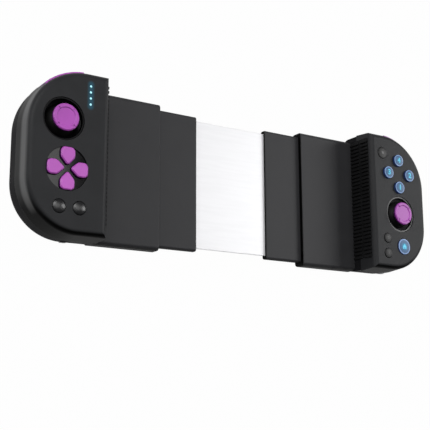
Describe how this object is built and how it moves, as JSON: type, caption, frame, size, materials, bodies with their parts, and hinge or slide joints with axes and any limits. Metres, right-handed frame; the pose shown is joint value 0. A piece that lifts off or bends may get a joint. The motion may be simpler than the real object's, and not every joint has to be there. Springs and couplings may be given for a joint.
{
  "type": "mobile game controller",
  "caption": "Telescopic phone game controller: two key grips joined by a nested sliding tray, holding a phone between ribbed pads.",
  "frame": {"origin": "on the plane that the back rests on, under the middle of the outline", "axes": "+X along the controller from the left grip to the right grip, +Y towards the shoulder keys, +Z out of the face with the keys"},
  "size_m": [0.2532, 0.083, 0.029],
  "materials": {
    "shell_dark": "fine matte texture",
    "shell_back": "matte black",
    "sleeve_dark": "satin",
    "plate_silver": "pale brushed silver",
    "pad_rubber": "ribbed matte rubber",
    "key_purple": "satin purple",
    "key_black": "glossy black",
    "key_grey": "matte grey",
    "key_lit": "backlit blue",
    "ring_black": "glossy black",
    "trigger_black": "satin",
    "light_clear": "clear, lit",
    "board_green": "coated board",
    "steel": "plated steel",
    "battery_wrap": "foil wrap",
    "pivot_pale": "moulded"
  },
  "bodies": {
    "centre_plate": {"centre_plate": "plate_silver"},
    "left_inner_sleeve": {"left_inner_sleeve": "sleeve_dark"},
    "right_inner_sleeve": {"right_inner_sleeve": "sleeve_dark"},
    "left_grip": {"left_front_cover": "shell_dark", "left_rear_cover": "shell_back", "left_outer_sleeve": "sleeve_dark", "left_clamp_pad": "pad_rubber", "left_main_board": "board_green", "left_key_board": "board_green", "left_cover_screws": "steel", "left_tray_screws": "steel", "left_bumper_pin": "steel", "left_trigger_pin": "steel", "left_stick_ring": "ring_black", "left_stick_frame": "pivot_pale", "direction_dish": "ring_black", "light_pipes": "light_clear", "battery": "battery_wrap"},
    "right_grip": {"right_front_cover": "shell_dark", "right_rear_cover": "shell_back", "right_outer_sleeve": "sleeve_dark", "right_clamp_pad": "pad_rubber", "right_main_board": "board_green", "right_key_board": "board_green", "right_cover_screws": "steel", "right_tray_screws": "steel", "right_bumper_pin": "steel", "right_trigger_pin": "steel", "right_stick_ring": "ring_black", "right_stick_frame": "pivot_pale", "charging_port": "steel"},
    "left_stick_yoke": {"left_stick_yoke": "pivot_pale"},
    "left_stick_pivot_block": {"left_stick_pivot_block": "pivot_pale"},
    "left_stick": {"left_stick_cap": "key_purple", "left_stick_stem": "ring_black"},
    "left_bumper": {"left_bumper": "key_purple"},
    "left_trigger": {"left_trigger": "trigger_black"},
    "right_stick_yoke": {"right_stick_yoke": "pivot_pale"},
    "right_stick_pivot_block": {"right_stick_pivot_block": "pivot_pale"},
    "right_stick": {"right_stick_cap": "key_purple", "right_stick_stem": "ring_black"},
    "right_bumper": {"right_bumper": "key_purple"},
    "right_trigger": {"right_trigger": "trigger_black"},
    "direction_key_up": {"direction_key_up": "key_purple"},
    "direction_key_down": {"direction_key_down": "key_purple"},
    "direction_key_left": {"direction_key_left": "key_purple"},
    "direction_key_right": {"direction_key_right": "key_purple"},
    "left_outer_button": {"left_outer_button": "key_black"},
    "left_inner_button": {"left_inner_button": "key_black"},
    "face_button_top": {"face_button_top": "key_lit"},
    "face_button_bottom": {"face_button_bottom": "key_lit"},
    "face_button_left": {"face_button_left": "key_lit"},
    "face_button_right": {"face_button_right": "key_lit"},
    "home_button": {"home_button": "key_lit"},
    "capture_button": {"capture_button": "key_grey"},
    "right_upper_button": {"right_upper_button": "key_grey"},
    "right_lower_button": {"right_lower_button": "key_grey"},
    "slide_switch": {"slide_switch": "key_black"}
  },
  "joints": [
    {"name": "left_inner_slide", "type": "slide", "parent": "centre_plate", "child": "left_inner_sleeve", "axis": [1, 0, 0], "range_m": [0, 0.0224]},
    {"name": "right_inner_slide", "type": "slide", "parent": "centre_plate", "child": "right_inner_sleeve", "axis": [-1, 0, 0], "range_m": [0, 0.0224]},
    {"name": "left_outer_slide", "type": "slide", "parent": "left_inner_sleeve", "child": "left_grip", "axis": [1, 0, 0], "range_m": [0, 0.0234]},
    {"name": "right_outer_slide", "type": "slide", "parent": "right_inner_sleeve", "child": "right_grip", "axis": [-1, 0, 0], "range_m": [0, 0.0234]},
    {"name": "left_stick_sideways", "type": "hinge", "parent": "left_grip", "child": "left_stick_yoke", "pos_m": [-0.10822, 0.01409, 0.01898], "axis": [0, 1, 0], "range_deg": [-13, 13], "stiffness_Nm_per_rad": 0.02},
    {"name": "left_stick_lengthways", "type": "hinge", "parent": "left_stick_yoke", "child": "left_stick_pivot_block", "pos_m": [-0.10822, 0.01409, 0.01898], "axis": [1, 0, 0], "range_deg": [-13, 13], "stiffness_Nm_per_rad": 0.02},
    {"name": "left_stick_press", "type": "slide", "parent": "left_stick_pivot_block", "child": "left_stick", "axis": [0, 0, -1], "range_m": [0, 0.0005], "stiffness_N_per_m": 1500},
    {"name": "left_bumper_press", "type": "hinge", "parent": "left_grip", "child": "left_bumper", "pos_m": [-0.09545, 0.03495, 0.019], "axis": [0, 0, 1], "range_deg": [0, 3], "stiffness_Nm_per_rad": 0.5},
    {"name": "left_trigger_pull", "type": "hinge", "parent": "left_grip", "child": "left_trigger", "pos_m": [-0.10669, 0.02935, 0.011], "axis": [-1, 0, 0], "range_deg": [0, 9], "stiffness_Nm_per_rad": 0.2},
    {"name": "right_stick_sideways", "type": "hinge", "parent": "right_grip", "child": "right_stick_yoke", "pos_m": [0.1055, -0.00778, 0.01898], "axis": [0, 1, 0], "range_deg": [-13, 13], "stiffness_Nm_per_rad": 0.02},
    {"name": "right_stick_lengthways", "type": "hinge", "parent": "right_stick_yoke", "child": "right_stick_pivot_block", "pos_m": [0.1055, -0.00778, 0.01898], "axis": [1, 0, 0], "range_deg": [-13, 13], "stiffness_Nm_per_rad": 0.02},
    {"name": "right_stick_press", "type": "slide", "parent": "right_stick_pivot_block", "child": "right_stick", "axis": [0, 0, -1], "range_m": [0, 0.0005], "stiffness_N_per_m": 1500},
    {"name": "right_bumper_press", "type": "hinge", "parent": "right_grip", "child": "right_bumper", "pos_m": [0.09545, 0.03495, 0.019], "axis": [0, 0, -1], "range_deg": [0, 3], "stiffness_Nm_per_rad": 0.5},
    {"name": "right_trigger_pull", "type": "hinge", "parent": "right_grip", "child": "right_trigger", "pos_m": [0.10669, 0.02935, 0.011], "axis": [-1, 0, 0], "range_deg": [0, 9], "stiffness_Nm_per_rad": 0.2},
    {"name": "direction_key_up_press", "type": "slide", "parent": "left_grip", "child": "direction_key_up", "axis": [0, 0, -1], "range_m": [0, 0.0009], "stiffness_N_per_m": 400},
    {"name": "direction_key_down_press", "type": "slide", "parent": "left_grip", "child": "direction_key_down", "axis": [0, 0, -1], "range_m": [0, 0.0009], "stiffness_N_per_m": 400},
    {"name": "direction_key_left_press", "type": "slide", "parent": "left_grip", "child": "direction_key_left", "axis": [0, 0, -1], "range_m": [0, 0.0009], "stiffness_N_per_m": 400},
    {"name": "direction_key_right_press", "type": "slide", "parent": "left_grip", "child": "direction_key_right", "axis": [0, 0, -1], "range_m": [0, 0.0009], "stiffness_N_per_m": 400},
    {"name": "left_outer_button_press", "type": "slide", "parent": "left_grip", "child": "left_outer_button", "axis": [0, 0, -1], "range_m": [0, 0.0006], "stiffness_N_per_m": 400},
    {"name": "left_inner_button_press", "type": "slide", "parent": "left_grip", "child": "left_inner_button", "axis": [0, 0, -1], "range_m": [0, 0.0006], "stiffness_N_per_m": 400},
    {"name": "face_button_top_press", "type": "slide", "parent": "right_grip", "child": "face_button_top", "axis": [0, 0, -1], "range_m": [0, 0.0009], "stiffness_N_per_m": 400},
    {"name": "face_button_bottom_press", "type": "slide", "parent": "right_grip", "child": "face_button_bottom", "axis": [0, 0, -1], "range_m": [0, 0.0009], "stiffness_N_per_m": 400},
    {"name": "face_button_left_press", "type": "slide", "parent": "right_grip", "child": "face_button_left", "axis": [0, 0, -1], "range_m": [0, 0.0009], "stiffness_N_per_m": 400},
    {"name": "face_button_right_press", "type": "slide", "parent": "right_grip", "child": "face_button_right", "axis": [0, 0, -1], "range_m": [0, 0.0009], "stiffness_N_per_m": 400},
    {"name": "home_button_press", "type": "slide", "parent": "right_grip", "child": "home_button", "axis": [0, 0, -1], "range_m": [0, 0.0006], "stiffness_N_per_m": 400},
    {"name": "capture_button_press", "type": "slide", "parent": "right_grip", "child": "capture_button", "axis": [0, 0, -1], "range_m": [0, 0.0004], "stiffness_N_per_m": 400},
    {"name": "right_upper_button_press", "type": "slide", "parent": "right_grip", "child": "right_upper_button", "axis": [0, 0, -1], "range_m": [0, 0.0004], "stiffness_N_per_m": 400},
    {"name": "right_lower_button_press", "type": "slide", "parent": "right_grip", "child": "right_lower_button", "axis": [0, 0, -1], "range_m": [0, 0.0004], "stiffness_N_per_m": 400},
    {"name": "slide_switch_shift", "type": "slide", "parent": "left_grip", "child": "slide_switch", "axis": [1, 0, 0], "range_m": [0, 0.0029]}
  ]
}
